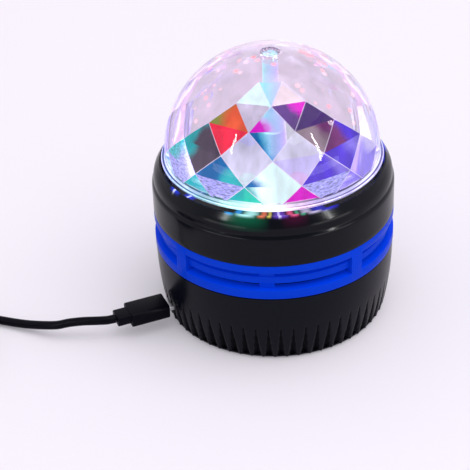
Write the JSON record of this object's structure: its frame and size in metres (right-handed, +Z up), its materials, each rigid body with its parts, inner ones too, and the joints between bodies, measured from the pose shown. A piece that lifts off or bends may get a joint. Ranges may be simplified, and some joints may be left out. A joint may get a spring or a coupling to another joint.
{
  "type": "star projector lamp",
  "caption": "Table lamp with a clear faceted dome that turns over coloured lights, black housings, a blue vent ring and a plug-in lead.",
  "frame": {"origin": "on the lamp's vertical axis, at the level of the undersides of its rubber feet", "axes": "+Z up through the dome, -X towards the lead's socket, +Y to the left of someone who looks out of the socket's side"},
  "size_m": [0.2297, 0.1014, 0.1117],
  "materials": {
    "black_gloss": "gloss",
    "black_satin": "satin",
    "black_moulding": "matt",
    "cable_black": "satin",
    "vent_blue": "gloss",
    "clear_plastic": "clear gloss",
    "foot_rubber": "matt",
    "steel": "satin",
    "dark_steel": "satin",
    "brass": "satin",
    "gear_plastic": "satin",
    "plate_plastic": "satin",
    "board_white": "satin",
    "board_green": "satin",
    "chip_black": "matt",
    "can_sleeve": "satin",
    "wire_red": "satin",
    "wire_black": "satin",
    "led_green": "clear gloss",
    "led_red": "clear gloss",
    "led_white": "clear gloss",
    "led_blue": "clear gloss"
  },
  "bodies": {
    "housing": {"lower_housing": "black_satin", "bottom_cover": "black_moulding", "rubber_foot_1": "foot_rubber", "rubber_foot_2": "foot_rubber", "rubber_foot_3": "foot_rubber", "rubber_foot_4": "foot_rubber", "cover_screw_1": "dark_steel", "cover_screw_2": "dark_steel", "cover_screw_3": "dark_steel", "cover_screw_4": "dark_steel", "housing_screw_1": "dark_steel", "housing_screw_2": "dark_steel", "housing_screw_3": "dark_steel", "housing_screw_4": "dark_steel", "power_board": "board_green", "power_board_screw_1": "steel", "power_board_screw_2": "steel", "usb_socket": "steel", "socket_tongue": "chip_black", "driver_chip": "chip_black", "capacitor": "can_sleeve", "vent_ring": "vent_blue", "first_gear_pin": "steel", "second_gear_pin": "steel", "output_bush": "brass", "gearbox_base": "plate_plastic", "gearbox_cover": "plate_plastic", "gearbox_screw_1": "dark_steel", "gearbox_screw_2": "dark_steel", "gearbox_screw_3": "dark_steel", "motor_can": "steel", "motor_end_cap": "black_moulding", "upper_housing": "black_gloss", "led_board": "board_white", "led_board_screw_1": "steel", "led_board_screw_2": "steel", "green_led": "led_green", "red_led": "led_red", "white_led": "led_white", "blue_led": "led_blue", "motor_wire_red": "wire_red", "motor_wire_black": "wire_black", "led_wire_red": "wire_red", "led_wire_black": "wire_black"},
    "dome": {"clear_dome": "clear_plastic", "output_shaft": "steel", "output_gear": "gear_plastic"},
    "second_gear": {"second_gear": "gear_plastic"},
    "first_gear": {"first_gear": "gear_plastic"},
    "motor_rotor": {"motor_shaft": "steel", "motor_pinion": "brass"},
    "usb_cable": {"plug_shell": "steel", "plug_grip": "cable_black", "cord": "cable_black", "cord_coil": "cable_black", "cable_tie": "wire_black", "usb_a_grip": "cable_black", "usb_a_shell": "steel", "usb_a_tongue": "board_white"}
  },
  "joints": [
    {"name": "dome_spin", "type": "hinge", "parent": "housing", "child": "dome", "pos_m": [0, 0, 0.0594], "axis": [0, 0, 1], "continuous": true},
    {"name": "second_gear_spin", "type": "hinge", "parent": "housing", "child": "second_gear", "pos_m": [0.00362, 0.01352, 0.053], "axis": [0, 0, 1], "continuous": true},
    {"name": "first_gear_spin", "type": "hinge", "parent": "housing", "child": "first_gear", "pos_m": [0.01715, 0.0099, 0.051], "axis": [0, 0, 1], "continuous": true},
    {"name": "motor_spin", "type": "hinge", "parent": "housing", "child": "motor_rotor", "pos_m": [0.01352, -0.00362, 0.049], "axis": [0, 0, 1], "continuous": true},
    {"name": "usb_unplug", "type": "slide", "parent": "housing", "child": "usb_cable", "axis": [-1, 0, 0], "range_m": [0, 0.012]}
  ],
  "couplings": [
    {"joint": "second_gear_spin", "follows": "dome_spin", "ratio": -4},
    {"joint": "first_gear_spin", "follows": "dome_spin", "ratio": 16},
    {"joint": "motor_spin", "follows": "dome_spin", "ratio": -64}
  ]
}
